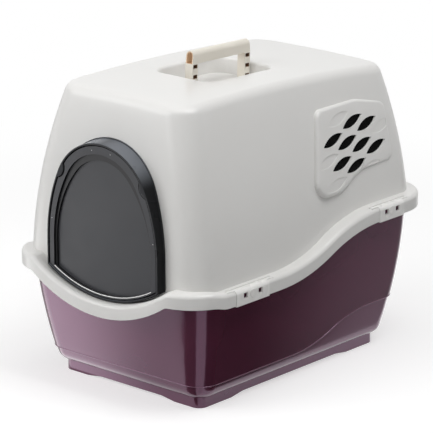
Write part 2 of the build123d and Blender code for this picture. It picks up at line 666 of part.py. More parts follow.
def make_clip(place, length, skirt_z):
    """Right-hand swing clip: knuckle with pins on top, plate over the flange, skirt and nose."""
    axis_z = skirt_z + FLANGE_HEIGHT - CLIP_AXIS_DROP
    top = skirt_z + FLANGE_HEIGHT
    under = top - FLANGE_PLATE
    outer = FLANGE_HALF_X + CLIP_PROUD
    inner = outer - CLIP_WALL
    low = skirt_z - CLIP_DROP
    y0 = place - length / 2
    y1 = place + length / 2
    clip = block(CLIP_AXIS_X, outer, y0, y1, under, top) + block(inner, outer, y0, y1, low, top)
    corner = [
        edge for edge in clip.edges()
        if edge.center().X > outer - CLIP_GAP and edge.center().Z > top - CLIP_GAP
    ]
    clip = fillet(corner, FLANGE_EDGE_ROUND)
    bead_foot = skirt_z + RIM_TOP - BEAD_HEIGHT
    nose_top = bead_foot - CLIP_NOSE_GAP
    clip += block(inner - CLIP_NOSE, inner, y0, y1, nose_top - CLIP_NOSE_HEIGHT, nose_top)
    clip += block(
        CLIP_AXIS_X, CLIP_AXIS_X + CLIP_EAR_REACH, y0 - CLIP_EAR, y1 + CLIP_EAR, under, top
    )
    knuckle = Pos(CLIP_AXIS_X, place, axis_z) * Rot(90, 0, 0)
    clip += knuckle * Cylinder(CLIP_KNUCKLE, length + 2 * CLIP_EAR)
    clip += knuckle * Cylinder(CLIP_PIN_RADIUS, length + 2 * (CLIP_EAR + CLIP_PIN_LENGTH))
    pitch = CLIP_WINDOW_SHARE * length
    middle = skirt_z + CLIP_WINDOW_RISE
    for y in (place - pitch / 2, place + pitch / 2):
        clip -= block(
            inner - CLIP_NOSE, outer + CLIP_PROUD, y - CLIP_WINDOW_LENGTH / 2, y + CLIP_WINDOW_LENGTH / 2,
            middle - CLIP_WINDOW_HEIGHT / 2, middle + CLIP_WINDOW_HEIGHT / 2,
        )
    nub = Pos(outer, place, middle) * Rot(0, 90, 0) * Cylinder(CLIP_NUB_RADIUS, 2 * CLIP_NUB_PROUD)
    return clip + nub


def make_filter_pad():
    """Right-hand charcoal pad: a sheet on the hood's inner wall that also fills the vent panel."""
    gap = HOOD_WALL + PAD_FIT
    outline = Pos(PAD_CENTER_Y, PAD_CENTER_Z) * RectangleRounded(PAD_LENGTH, PAD_HEIGHT, PAD_CORNER)
    sheet = through_side(outline) & hood_form(-gap)
    filling = through_side(outline & vent_outline(gap)) & raised_form(-gap)
    return (sheet + filling) - hood_form(-gap - PAD_THICKNESS)


def make_filter_holder():
    """Right-hand holder: a frame round the pad and bars behind it."""
    middle = Pos(PAD_CENTER_Y, PAD_CENTER_Z)
    outer = middle * RectangleRounded(
        PAD_LENGTH + 2 * HOLDER_BORDER, PAD_HEIGHT + 2 * HOLDER_BORDER, PAD_CORNER + HOLDER_BORDER
    )
    inner = middle * RectangleRounded(PAD_LENGTH + 2 * PAD_FIT, PAD_HEIGHT + 2 * PAD_FIT, PAD_CORNER)
    window = middle * RectangleRounded(PAD_LENGTH - HOLDER_BAR, PAD_HEIGHT - HOLDER_BAR, PAD_CORNER)
    bars = Sketch() + middle * Rectangle(PAD_LENGTH, HOLDER_BAR)
    spacing = PAD_LENGTH / (HOLDER_BAR_COUNT + 1)
    for count in range(HOLDER_BAR_COUNT):
        across = (count + 1) * spacing - PAD_LENGTH / 2
        bars += middle * Pos(across, 0) * Rectangle(HOLDER_BAR, PAD_HEIGHT)
    wall_side = hood_form(-HOOD_WALL - PAD_FIT)
    face_front = hood_form(-HOOD_WALL - 2 * PAD_FIT - PAD_THICKNESS)
    face_back = hood_form(-HOOD_WALL - 2 * PAD_FIT - PAD_THICKNESS - HOLDER_FACE)
    frame = through_side(outer - inner) & (wall_side - face_back)
    grille = through_side((outer - window) + bars) & (face_front - face_back)
    return frame + grille


def main():
    """Build every node and write one STEP file for each."""
    nodes = {
        "base_pan": make_base_pan(),
        "hood": make_hood(),
        "door_frame": make_door_frame(),
        "door_flap": make_door_flap(),
        "carry_handle": make_carry_handle(),
    }
    for name, (place, length, skirt_z) in CLIPS.items():
        clip = make_clip(place, length, skirt_z)
        nodes[f"clip_{name}_right"] = clip
        nodes[f"clip_{name}_left"] = mirror(clip, about=Plane.YZ)
    for name, maker in (("filter_pad", make_filter_pad), ("filter_holder", make_filter_holder)):
        solid = maker()
        nodes[f"{name}_right"] = solid
        nodes[f"{name}_left"] = mirror(solid, about=Plane.YZ)
    os.makedirs("parts", exist_ok=True)
    for name, shape in nodes.items():
        export_step(shape, f"parts/{name}.step")


if __name__ == "__main__":
    main()
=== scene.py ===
# %% [markdown]
# A covered litter box is four kinds of moulded plastic and a little felt: a wine-coloured tray, a
# warm white hood, a black collar with a smoked flap in it, and an ivory handle. The shapes come
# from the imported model, in metres, with the door facing -Y. This script gives each piece its
# finish, adds the small marks that moulding leaves, and sets up a small studio round the box.

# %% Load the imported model
import math

import bmesh
import bpy
from mathutils import Matrix, Vector


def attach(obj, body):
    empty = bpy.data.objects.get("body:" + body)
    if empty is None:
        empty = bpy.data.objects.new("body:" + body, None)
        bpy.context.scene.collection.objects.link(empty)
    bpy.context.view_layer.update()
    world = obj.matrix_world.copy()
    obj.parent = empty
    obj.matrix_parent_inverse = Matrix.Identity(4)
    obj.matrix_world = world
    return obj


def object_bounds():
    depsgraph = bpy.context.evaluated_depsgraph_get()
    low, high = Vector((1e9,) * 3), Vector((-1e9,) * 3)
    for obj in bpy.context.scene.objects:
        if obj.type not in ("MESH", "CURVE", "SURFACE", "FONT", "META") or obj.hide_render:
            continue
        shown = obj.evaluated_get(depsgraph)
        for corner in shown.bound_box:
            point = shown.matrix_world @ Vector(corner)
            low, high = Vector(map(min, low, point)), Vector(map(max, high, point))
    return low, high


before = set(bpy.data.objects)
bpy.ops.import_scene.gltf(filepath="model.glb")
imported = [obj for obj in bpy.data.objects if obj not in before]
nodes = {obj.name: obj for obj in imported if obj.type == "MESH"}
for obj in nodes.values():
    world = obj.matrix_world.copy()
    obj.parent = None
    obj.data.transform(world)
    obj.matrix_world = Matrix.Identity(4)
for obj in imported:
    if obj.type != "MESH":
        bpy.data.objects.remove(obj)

cad_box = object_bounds()
print("nodes:", sorted(nodes))
print("box of the packed model:")
for corner in cad_box:
    print(" ", tuple(round(value, 4) for value in corner))

# %% [markdown]
# A camera and lamps are easiest to place as a photographer thinks of them: so far round the box,
# so far up and so far away. Two angles give a direction, and an object is turned until its own
# -Z, which is where cameras and lamps look in Blender, points at the target.

# %% Directions round the box
def direction(azimuth, elevation):
    """Unit vector from the box to a place: azimuth 0 is in front of the door, 90 at its right."""
    turn, rise = math.radians(azimuth), math.radians(elevation)
    level = math.cos(rise)
    return Vector((math.sin(turn) * level, -math.cos(turn) * level, math.sin(rise)))


def aimed(data, name, location, target):
    """New object at location, looking at target."""
    item = bpy.data.objects.new(name, data)
    bpy.context.scene.collection.objects.link(item)
    item.location = location
    item.rotation_euler = (Vector(target) - Vector(location)).to_track_quat("-Z", "Y").to_euler()
    print(name, "at", tuple(round(value, 3) for value in item.location))
    return item


print("towards the door:", tuple(round(value, 3) for value in direction(0, 0)))

# %% [markdown]
# The photograph was taken from a distance with a long lens, from the right of the door and a
# little above. Such a lens keeps the box's edges nearly parallel. Its length and the distance
# were fitted to the rim, the roof, the door and the feet in the picture, so both are kept to the
# decimal.

# %% Camera
CAMERA_AZIMUTH = 41.36
CAMERA_ELEVATION = 17.02
CAMERA_DISTANCE = 4.2038
CAMERA_TARGET = Vector((-0.0063, -0.0055, 0.1977))
CAMERA_LENS = 256.4
SENSOR_WIDTH = 36.0
CAMERA_REACH = 60.0

camera_data = bpy.data.cameras.new("photo_camera")
camera_data.lens = CAMERA_LENS
camera_data.sensor_width = SENSOR_WIDTH
camera_data.clip_end = CAMERA_REACH
camera_place = CAMERA_TARGET + direction(CAMERA_AZIMUTH, CAMERA_ELEVATION) * CAMERA_DISTANCE
bpy.context.scene.camera = aimed(camera_data, "photo_camera", camera_place, CAMERA_TARGET)
bpy.context.scene.view_settings.view_transform = "Standard"

# %% [markdown]
# Studio light for glossy plastic is mostly large soft panels, because a small lamp would show as
# a hard spot. The photograph is brightest on the roof and on the rim's upper side, a little less
# on the front, and darkest on the right side. So the big panel hangs above, a little to the
# right, where it reaches the rim but only grazes the wall. A second one comes over the right
# side, high enough to give the raised vent panel a lit upper edge and a shadow below. The third
# stands in front, well to the left, and leaves the near corner grey.

# %% Lamps
LAMP_TARGET = Vector((0.0, 0.0, 0.2))


def panel(name, azimuth, elevation, distance, size, watts):
    """Soft white panel, facing the middle of the box."""
    lamp = bpy.data.lights.new(name, "AREA")
    lamp.shape = "RECTANGLE"
    lamp.size, lamp.size_y = size
    lamp.energy = watts
    place = LAMP_TARGET + direction(azimuth, elevation) * distance
    aimed(lamp, name, place, LAMP_TARGET).visible_camera = False


panel("top_panel", azimuth=50, elevation=82, distance=2.2, size=(1.9, 1.9), watts=16)
panel("side_panel", azimuth=92, elevation=62, distance=2.2, size=(1.0, 1.0), watts=16.5)
panel("front_panel", azimuth=-29, elevation=26, distance=2.0, size=(1.5, 1.3), watts=17.5)

# %% [markdown]
# A finish in Blender is a tree of small nodes that pass numbers and colours on. These helpers
# keep the trees short to write: one adds a node, one sets its values, one fills a socket with a
# value or with another node's output, one does a sum, and one stretches a value over a new range
# with soft ends.

# %% Helpers for node trees
def add(tree, kind, **settings):
    """New node with its settings."""
    node = tree.nodes.new(kind)
    for setting, value in settings.items():
        setattr(node, setting, value)
    return node


def set_values(node, **values):
    """Set a node's own sockets; an underscore stands for a space in a socket's name."""
    for name, value in values.items():
        node.inputs[name.replace("_", " ")].default_value = value


def feed(tree, value, socket):
    """Fill a socket with a plain value or with the output of another node."""
    if isinstance(value, bpy.types.NodeSocket):
        tree.links.new(value, socket)
    else:
        socket.default_value = value


def sum_of(tree, operation, *values):
    """Result of a sum on numbers or outputs."""
    node = add(tree, "ShaderNodeMath", operation=operation)
    for value, socket in zip(values, node.inputs):
        feed(tree, value, socket)
    return node.outputs[0]


def spread(tree, value, low, high, start, end):
    """Stretch a value that runs from start to end over low to high."""
    stretch = add(tree, "ShaderNodeMapRange", interpolation_type="SMOOTHSTEP")
    set_values(stretch, From_Min=start, From_Max=end, To_Min=low, To_Max=high)
    tree.links.new(value, stretch.inputs["Value"])
    return stretch.outputs["Result"]


helpers = (add, set_values, feed, sum_of, spread)
print("helpers:", ", ".join(helper.__name__ for helper in helpers))

# %% [markdown]
# The world is white wherever the camera or a glossy surface looks past the floor, as the paper
# background of the photograph is, and dimmer for the light that it throws on the box. The Light
# Path node tells the two kinds of ray apart.

# %% World
WORLD_LIGHT = 0.18
WHITE = (1.0, 1.0, 1.0, 1.0)


def seen_directly(tree):
    """1 for what the camera sees, also by way of a glossy or clear surface, 0 for soft light."""
    path = add(tree, "ShaderNodeLightPath").outputs
    through = sum_of(tree, "MAXIMUM", path["Is Camera Ray"], path["Is Transmission Ray"])
    return sum_of(tree, "MAXIMUM", through, path["Is Glossy Ray"])


world = bpy.data.worlds.new("white_room")
world.use_nodes = True
bpy.context.scene.world = world
tree = world.node_tree
background = tree.nodes["Background"]
set_values(background, Color=WHITE)
strength = spread(tree, seen_directly(tree), WORLD_LIGHT, 1.0, 0.0, 1.0)
tree.links.new(strength, background.inputs["Strength"])
print("world light on the box:", WORLD_LIGHT)

# %% [markdown]
# The floor is one large sheet of white paper. Round the box it is a real lit surface, lifted a
# little towards paper white where it is seen directly, so it takes the shadow of the box. Further
# out, where the lamps get weak, it turns into plain white, as a paper sweep does that is lit on
# its own.

# %% Studio paper
PAPER_TONE = 0.60
PAPER_LIFT = 0.55
SWEEP_START = 0.45
SWEEP_END = 1.25

paper = bpy.data.materials.new("studio_paper")
paper.use_nodes = True
tree = paper.node_tree
shader = tree.nodes["Principled BSDF"]
set_values(shader, Base_Color=(PAPER_TONE, PAPER_TONE, PAPER_TONE, 1.0), Roughness=1.0,
           Specular_IOR_Level=0.0, Emission_Color=WHITE)
seen = seen_directly(tree)
tree.links.new(sum_of(tree, "MULTIPLY", seen, PAPER_LIFT), shader.inputs["Emission Strength"])
from_box = add(tree, "ShaderNodeVectorMath", operation="LENGTH")
tree.links.new(add(tree, "ShaderNodeTexCoord").outputs["Object"], from_box.inputs[0])
sweep = spread(tree, from_box.outputs["Value"], 0.0, 1.0, SWEEP_START, SWEEP_END)
paper_or_white = add(tree, "ShaderNodeMixShader")
tree.links.new(sum_of(tree, "MULTIPLY", sweep, seen), paper_or_white.inputs["Fac"])
tree.links.new(shader.outputs["BSDF"], paper_or_white.inputs[1])
tree.links.new(add(tree, "ShaderNodeEmission").outputs["Emission"], paper_or_white.inputs[2])
output = tree.nodes["Material Output"]
tree.links.new(paper_or_white.outputs["Shader"], output.inputs["Surface"])
print("paper turns plain white between", SWEEP_START, "and", SWEEP_END, "m from the box")

# %% [markdown]
# The sheet itself is a single flat face. It belongs to the studio and not to the box. It reaches
# so far out that no view sees its edge.

# %% Floor
FLOOR_HALF = 14.0


def card(name, corners, material):
    """Flat sheet of the studio, which isn't part of the object."""
    mesh = bpy.data.meshes.new(name)
    mesh.from_pydata(corners, [], [tuple(range(len(corners)))])
    mesh.materials.append(material)
    sheet = bpy.data.objects.new(name, mesh)
    bpy.context.scene.collection.objects.link(sheet)
    print(name, "has", len(corners), "corners")
    return sheet


corner_signs = ((-1, -1), (1, -1), (1, 1), (-1, 1))
card("studio_floor", [(x * FLOOR_HALF, y * FLOOR_HALF, 0) for x, y in corner_signs], paper)

# %% [markdown]
# The glossy tray is a dark mirror. Its walls lean out towards the rim, so from the camera they
# mirror the floor close to the box: bright at the front left, where the tray looks pale mauve,
# and dark on the right, where it looks almost black. Photographers lay white and black cards on
# the table for that. These cards show in glossy surfaces only, and throw neither light nor
# shadow.

# %% A card that only gloss can see
CARD_HEIGHT = 0.001


def mirrored_card(name, corners, glow, far_glow=None, along=(1.0, 0.0), near=0.0, far=1.0):
    """Card on the floor; its glow may run to a second one along a direction, from near to far."""
    material = bpy.data.materials.new(name)
    material.use_nodes = True
    tree = material.node_tree
    tree.nodes.clear()
    measure = add(tree, "ShaderNodeVectorMath", operation="DOT_PRODUCT")
    measure.inputs[1].default_value = (*along, 0.0)
    tree.links.new(add(tree, "ShaderNodeTexCoord").outputs["Object"], measure.inputs[0])
    last_glow = glow if far_glow is None else far_glow
    light = add(tree, "ShaderNodeEmission")
    ramp = spread(tree, measure.outputs["Value"], glow, last_glow, near, far)
    tree.links.new(ramp, light.inputs["Strength"])
    output = add(tree, "ShaderNodeOutputMaterial")
    tree.links.new(light.outputs["Emission"], output.inputs["Surface"])
    sheet = card(name, [(x, y, CARD_HEIGHT) for x, y in corners], material)
    for kind in ("camera", "diffuse", "transmission", "shadow"):
        setattr(sheet, "visible_" + kind, False)
    print("  glows", glow, "to", last_glow)


print("cards lie", CARD_HEIGHT, "m above the floor")

# %% [markdown]
# The cards fan out from the tray's corners like slices of a cake, because each part of a rounded
# corner mirrors its own slice. The white one at the front left fades towards the right, which
# draws the long soft run from mauve to wine along the front. The narrow white slice at the corner
# gives the crisp pale strip there. Corners are x and y on the floor, in metres, and the slices'
# edges are azimuths in degrees, counted as for the camera.

# %% Reflection cards
FRONT_LEFT = (-0.15, -0.19)
FRONT_RIGHT = (0.12, -0.19)
WHITE_EDGE = -38.5
BLACK_MIDDLE = -6
STRIP_START = 25
STRIP_END = 73
SLICE_LENGTH = 0.9
SIDE_LENGTH = 1.6


def from_corner(azimuth, distance):
    """Point on the floor, at a distance from the tray's front right corner."""
    turn = math.radians(azimuth)
    x, y = FRONT_RIGHT
    return (x + distance * math.sin(turn), y - distance * math.cos(turn))


white_end = from_corner(WHITE_EDGE, SLICE_LENGTH)
black_middle = from_corner(BLACK_MIDDLE, SLICE_LENGTH)
strip_start = from_corner(STRIP_START, SLICE_LENGTH)
strip_end = from_corner(STRIP_END, SLICE_LENGTH)
side_start = from_corner(STRIP_END, SIDE_LENGTH)
mirrored_card("white_card", [FRONT_LEFT, FRONT_RIGHT, white_end, (-1.10, -0.89), (-1.10, -0.36)],
              2.3, 0.80, along=(1.0, -0.869), near=0.02, far=0.24)
mirrored_card("front_black_card", [FRONT_RIGHT, white_end, black_middle, strip_start], 0.08)
mirrored_card("corner_white_card", [FRONT_RIGHT, strip_start, strip_end], 0.75)
mirrored_card("side_black_card", [(0.158, -0.20), side_start, (2.0, 2.4), (0.158, 2.4)],
              0.02, 0.30, along=(-1.151, 1.0), near=-0.29, far=0.03)
mirrored_card("rear_white_card", [(0.13, 0.21), (0.13, 2.4), (-1.60, 2.4), (-0.60, 0.70)], 1.3)
mirrored_card("left_black_card",
              [FRONT_LEFT, (-1.10, -0.36), (-4.0, -0.36), (-4.0, 3.0), (-0.15, 3.0)], 0.5)

# %% [markdown]
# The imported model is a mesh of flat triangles. Moulded plastic is smooth, so neighbouring
# triangles share one normal wherever they meet at a small angle, and keep their edge where they
# meet at a large one. The shading is changed by a modifier, so no vertex moves.

# %% Smooth shading
SMOOTH_ANGLE = math.radians(28)
WELD_DISTANCE = 0.00001


def smooth_group():
    """Geometry nodes that weld split vertices and shade smooth up to an angle."""
    group = bpy.data.node_groups.new("smooth_moulding", "GeometryNodeTree")
    for in_out in ("INPUT", "OUTPUT"):
        group.interface.new_socket("Geometry", in_out=in_out, socket_type="NodeSocketGeometry")
    weld = add(group, "GeometryNodeMergeByDistance")
    set_values(weld, Distance=WELD_DISTANCE)
    all_smooth = add(group, "GeometryNodeSetShadeSmooth")
    set_values(all_smooth, Shade_Smooth=True)
    edges = add(group, "GeometryNodeSetShadeSmooth", domain="EDGE")
    set_values(edges, Shade_Smooth=False)
    sharp = add(group, "FunctionNodeCompare", operation="GREATER_THAN")
    set_values(sharp, B=SMOOTH_ANGLE)
    angle = add(group, "GeometryNodeInputMeshEdgeAngle")
    group.links.new(angle.outputs["Unsigned Angle"], sharp.inputs["A"])
    group.links.new(sharp.outputs[0], edges.inputs["Selection"])
    group.links.new(add(group, "NodeGroupInput").outputs[0], weld.inputs["Geometry"])
    group.links.new(weld.outputs[0], all_smooth.inputs["Geometry"])
    group.links.new(all_smooth.outputs[0], edges.inputs["Geometry"])
    group.links.new(edges.outputs[0], add(group, "NodeGroupOutput").inputs[0])
    return group


smooth_moulding = smooth_group()
for node in nodes.values():
    node.modifiers.new("smooth_moulding", "NODES").node_group = smooth_moulding
print("smoothed", len(nodes), "nodes")

# %% [markdown]
# Injection-moulded plastic is never one flat tone, so its colour and its gloss both need a slow
# variation. Noise gives that. It is read from the object's own coordinates, in metres, so that it
# has the same scale on every piece and stays put when a piece moves or the camera goes round.

# %% Noise and tones
NOISE_START = 0.35
NOISE_END = 0.65


def noise(tree, place, scale, detail=2.0):
    """Noise texture at a scale per metre; its factor runs round one half."""
    texture = add(tree, "ShaderNodeTexNoise")
    set_values(texture, Scale=scale, Detail=detail)
    tree.links.new(place, texture.inputs["Vector"])
    return texture.outputs["Fac"]


def noisy(tree, place, scale, low, high):
    """Value that wanders between low and high over the piece."""
    return spread(tree, noise(tree, place, scale), low, high, NOISE_START, NOISE_END)


def blend_tones(tree, share, first, second):
    """Colour between two tones; each is an RGB triple or an output."""
    mix = add(tree, "ShaderNodeMix", data_type="RGBA")
    tree.links.new(share, mix.inputs["Factor"])
    for tone, socket in ((first, mix.inputs["A"]), (second, mix.inputs["B"])):
        feed(tree, (*tone, 1.0) if isinstance(tone, tuple) else tone, socket)
    return mix.outputs["Result"]


print("noise is used from", NOISE_START, "to", NOISE_END)

# %% [markdown]
# The pigment lies in slow clouds, the gloss follows how well the melt copied the polished mould,
# and the skin has a very fine peel. All three are noise at their own scale: a cloud is about ten
# centimetres wide and a grain of the peel about one millimetre. No moulded edge is knife sharp
# either: the Bevel node turns the normals near an edge, so that it catches a thin light.

# %% Moulded plastic
CLOUD_SCALE = 9.0
GLOSS_SCALE = 34.0
PEEL_SCALE = 620.0
PEEL_DISTANCE = 0.0002
EDGE_ROUND = 0.0005
BEVEL_SAMPLES = 6


def moulded_plastic(name, light_tone, deep_tone, smooth, dull, peel, edge_round=EDGE_ROUND):
    """Clouds between two tones, gloss between two roughnesses, and a peel of a strength."""
    material = bpy.data.materials.new(name)
    material.use_nodes = True
    tree = material.node_tree
    shader = tree.nodes["Principled BSDF"]
    place = add(tree, "ShaderNodeTexCoord").outputs["Object"]
    clouds = noisy(tree, place, CLOUD_SCALE, 0.0, 1.0)
    tree.links.new(blend_tones(tree, clouds, light_tone, deep_tone), shader.inputs["Base Color"])
    tree.links.new(noisy(tree, place, GLOSS_SCALE, smooth, dull), shader.inputs["Roughness"])
    soft_edge = add(tree, "ShaderNodeBevel", samples=BEVEL_SAMPLES)
    set_values(soft_edge, Radius=edge_round)
    bump = add(tree, "ShaderNodeBump")
    set_values(bump, Strength=peel, Distance=PEEL_DISTANCE)
    tree.links.new(soft_edge.outputs["Normal"], bump.inputs["Normal"])
    tree.links.new(noise(tree, place, PEEL_SCALE), bump.inputs["Height"])
    tree.links.new(bump.outputs["Normal"], shader.inputs["Normal"])
    return material


def dress(material, *names):
    """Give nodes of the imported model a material."""
    for name in names:
        nodes[name].data.materials.clear()
        nodes[name].data.materials.append(material)
    print(material.name, "on", ", ".join(names))


print("clouds", round(100 / CLOUD_SCALE), "cm wide, peel", round(1000 / PEEL_SCALE, 1), "mm")

# %% [markdown]
# The hood is warm white polypropylene with a semi-gloss skin. It is large and evenly lit, so even
# a small change of tone would look like a stain, and its two tones lie close together. The clips
# are the same plastic, painted a touch lighter: painted light for the top light that falls on
# them on the rim.

# %% Hood and clips
HOOD_LIGHT = (0.815, 0.808, 0.790)
HOOD_DEEP = (0.807, 0.799, 0.780)
CLIP_LIGHT = (0.920, 0.915, 0.895)
CLIP_DEEP = (0.900, 0.893, 0.870)

hood_white = moulded_plastic("hood_white", HOOD_LIGHT, HOOD_DEEP,
                             smooth=0.280, dull=0.288, peel=0.006)
dress(hood_white, "hood")
# Painted light: the clips are the hood's plastic painted a touch lighter.
clip_white = moulded_plastic("clip_white", CLIP_LIGHT, CLIP_DEEP,
                             smooth=0.25, dull=0.29, peel=0.02)
dress(clip_white, "clip_front_right", "clip_front_left", "clip_rear_right", "clip_rear_left")

# %% [markdown]
# The tray is a deep wine polypropylene that was moulded against a mirror polish. Its gloss has
# two parts: a sharp one from the outer skin, which draws crisp strips round the corners, and a
# soft one from just below, which gives the pale mauve veil on the front. The shader's coat is the
# sharp part, and a tinted specular is the veil.

# %% Tray
TRAY_LIGHT = (0.096, 0.0195, 0.043)
TRAY_DEEP = (0.084, 0.0170, 0.038)
TRAY_VEIL = (1.0, 0.60, 0.95, 1.0)


def shader_of(material):
    """The shader at the end of a material's tree."""
    return material.node_tree.nodes["Principled BSDF"]


tray_plum = moulded_plastic("tray_plum", TRAY_LIGHT, TRAY_DEEP,
                            smooth=0.16, dull=0.20, peel=0.004, edge_round=0.0002)
set_values(shader_of(tray_plum), Specular_IOR_Level=1.0, Specular_Tint=TRAY_VEIL,
           Coat_Weight=0.5, Coat_Roughness=0.05)
dress(tray_plum, "base_pan")

# %% [markdown]
# Below its styling step the tray's side looks paler towards the rear in the photograph, because
# the wall leans differently there and mirrors brighter paper. A second tone stands in for that.
# The step runs level, climbs in two arcs and runs level again, and the pale band ends at a height
# that follows it. A mask from the place on the object says where the band is, and a helper lays
# one tone over another where a mask says so.

# %% Pale band below the tray's step
TRAY_BAND = (0.190, 0.0900, 0.135)
BAND_FRONT_Z = 0.0355
BAND_REAR_Z = 0.0705
BAND_RISE_START_Y = -0.018
BAND_RISE_END_Y = 0.138
BAND_EDGE = 0.0004
BAND_FADE_START_Y = -0.08
BAND_FADE_END_Y = 0.16


def xyz_of(tree, vector):
    """The three parts of a vector."""
    split = add(tree, "ShaderNodeSeparateXYZ")
    tree.links.new(vector, split.inputs["Vector"])
    return tuple(split.outputs)


def place_of(tree):
    """x, y and z on the object itself, in metres."""
    return xyz_of(tree, add(tree, "ShaderNodeTexCoord").outputs["Object"])


def lay_over(material, share, tone):
    """Lay a tone over the material's own colour, as far as a share from 0 to 1 says."""
    tree = material.node_tree
    colour = shader_of(material).inputs["Base Color"]
    tree.links.new(blend_tones(tree, share, colour.links[0].from_socket, tone), colour)


tree = tray_plum.node_tree
_, y, z = place_of(tree)
band_top = spread(tree, y, BAND_FRONT_Z, BAND_REAR_Z, BAND_RISE_START_Y, BAND_RISE_END_Y)
in_band = spread(tree, sum_of(tree, "SUBTRACT", band_top, z), 0.0, 1.0, -BAND_EDGE, BAND_EDGE)
rearward = spread(tree, y, 0.0, 1.0, BAND_FADE_START_Y, BAND_FADE_END_Y)
lay_over(tray_plum, sum_of(tree, "MULTIPLY", in_band, rearward), TRAY_BAND)
print("band's top climbs from", BAND_FRONT_Z, "to", BAND_REAR_Z, "m")

# %% [markdown]
# Thin beads run along the tray's step and along the foot of the flap's window. A curve with a
# round bevel would do, but it can't be told which way is off the wall. So each bead is built in
# mesh code, as rings of points round a path that four-sided faces join. Its ends are closed,
# unless it runs all the way round.

# %% A bead along a path
def bead_along(points, outwards, radius, sides, closed):
    """Tube of rings round a path; outwards tells for each point which way is off the wall."""
    mesh = bmesh.new()
    rings = []
    last = len(points) - 1
    turns = [2 * math.pi * side / sides for side in range(sides)]
    for index, (point, outward) in enumerate(zip(points, outwards)):
        before = points[index - 1] if closed or index > 0 else points[0]
        after = points[(index + 1) % (last + 1)] if closed or index < last else points[last]
        across = (after - before).normalized().cross(outward).normalized()
        rings.append([mesh.verts.new(point + radius * (math.cos(turn) * outward
                                                       + math.sin(turn) * across))
                      for turn in turns])
    pairs = list(zip(rings, rings[1:])) + ([(rings[-1], rings[0])] if closed else [])
    for first, second in pairs:
        for side in range(sides):
            after = (side + 1) % sides
            mesh.faces.new((first[side], first[after], second[after], second[side]))
    if not closed:
        mesh.faces.new(reversed(rings[0]))
        mesh.faces.new(rings[-1])
    bmesh.ops.recalc_face_normals(mesh, faces=mesh.faces)
    return mesh


def add_piece(name, mesh, material, body):
    """Object from a bmesh, smooth, with its material, riding on a body."""
    data = bpy.data.meshes.new(name)
    mesh.to_mesh(data)
    mesh.free()
    data.shade_smooth()
    data.materials.append(material)
    piece = bpy.data.objects.new(name, data)
    bpy.context.scene.collection.objects.link(piece)
    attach(piece, body)
    print(name, "has", len(data.vertices), "points and rides on", body)


# %% [markdown]
# Under the styling step the wall is set back. The edge of the step catches the light and draws
# the long wave along the side. Its height at a place along the box is known from the tray's
# drawing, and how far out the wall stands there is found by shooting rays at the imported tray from
# outside. The height depends on where the ray lands, so each ray is shot a few times until both
# agree.

# %% Path of the tray's step
STEP_BEAD_RADIUS = 0.00080
STEP_BEAD_SINK = 0.0003
STEP_BEAD_POINTS = 420
RAY_START = 0.5
RAY_TRIES = 4


def step_height(y):
    """Height of the step's edge: level, then two equal arcs, then level again."""
    run = (BAND_RISE_END_Y - BAND_RISE_START_Y) / 2
    rise = (BAND_REAR_Z - BAND_FRONT_Z) / 2
    arc = (run ** 2 + rise ** 2) / (2 * rise)
    y = min(max(y, BAND_RISE_START_Y), BAND_RISE_END_Y)
    if y < BAND_RISE_START_Y + run:
        return BAND_FRONT_Z + arc - math.sqrt(arc ** 2 - (y - BAND_RISE_START_Y) ** 2)
    return BAND_REAR_Z - arc + math.sqrt(arc ** 2 - (BAND_RISE_END_Y - y) ** 2)


step_points, step_outwards = [], []
for index in range(STEP_BEAD_POINTS):
    turn = 2 * math.pi * index / STEP_BEAD_POINTS
    outward = Vector((math.sin(turn), math.cos(turn), 0.0))
    height = BAND_FRONT_Z
    for _ in range(RAY_TRIES):
        start = Vector((0.0, 0.0, height + STEP_BEAD_RADIUS)) + RAY_START * outward
        place, normal = nodes["base_pan"].ray_cast(start, -outward)[1:3]
        height = step_height(place.y)
    flat = Vector((normal.x, normal.y, 0.0)).normalized()
    step_points.append(Vector((place.x, place.y, height)) - STEP_BEAD_SINK * flat)
    step_outwards.append(flat)
print("step's half width", round(max(point.x for point in step_points), 4), "m")

# %% [markdown]
# The bead is made of the tray's own plastic and sunk a little into the wall, so that it grows out
# of the tray as a moulded edge does and leaves no gap behind it.

# %% Bead on the tray's step
STEP_BEAD_SIDES = 8

bead = bead_along(step_points, step_outwards, STEP_BEAD_RADIUS, STEP_BEAD_SIDES, True)
add_piece("tray_step_bead", bead, tray_plum, "base")

# %% [markdown]
# The collar is black with a satin skin. It curves over towards the door. What faces up and out
# is painted blue-grey, a painted highlight for the sheen of the lamps above, and what faces the
# door is painted a lighter dark grey, painted light from the front. Both follow the direction that
# the surface faces on the object itself, so they stay in place from every side.

# %% Collar
COLLAR_BLACK = (0.0065, 0.0070, 0.0080)
COLLAR_PAINTED_SHEEN = (0.165, 0.176, 0.196)
COLLAR_PAINTED_FRONT_LIGHT = (0.034, 0.035, 0.039)
SHEEN_LEAN = 0.50
SHEEN_START = 0.88
SHEEN_END = 1.12
FULL_FRONT = -0.98
PART_FRONT = -0.80


def facing_of(tree):
    """How far the surface faces along x, y and z of the object, each from -1 to 1."""
    return xyz_of(tree, add(tree, "ShaderNodeTexCoord").outputs["Normal"])


collar_black = moulded_plastic("collar_black", COLLAR_BLACK, COLLAR_BLACK,
                               smooth=0.26, dull=0.34, peel=0.02, edge_round=0.003)
set_values(shader_of(collar_black), Specular_IOR_Level=0.14)
tree = collar_black.node_tree
x, y, z = facing_of(tree)
up_and_out = sum_of(tree, "MULTIPLY_ADD", sum_of(tree, "ABSOLUTE", x), SHEEN_LEAN, z)
# Painted highlight: surfaces that face up and out are painted blue-grey.
lay_over(collar_black, spread(tree, up_and_out, 0.0, 1.0, SHEEN_START, SHEEN_END), COLLAR_PAINTED_SHEEN)
# Painted light: faces towards the door are painted a lighter dark grey.
lay_over(collar_black, spread(tree, y, 1.0, 0.0, FULL_FRONT, PART_FRONT), COLLAR_PAINTED_FRONT_LIGHT)
dress(collar_black, "door_frame")
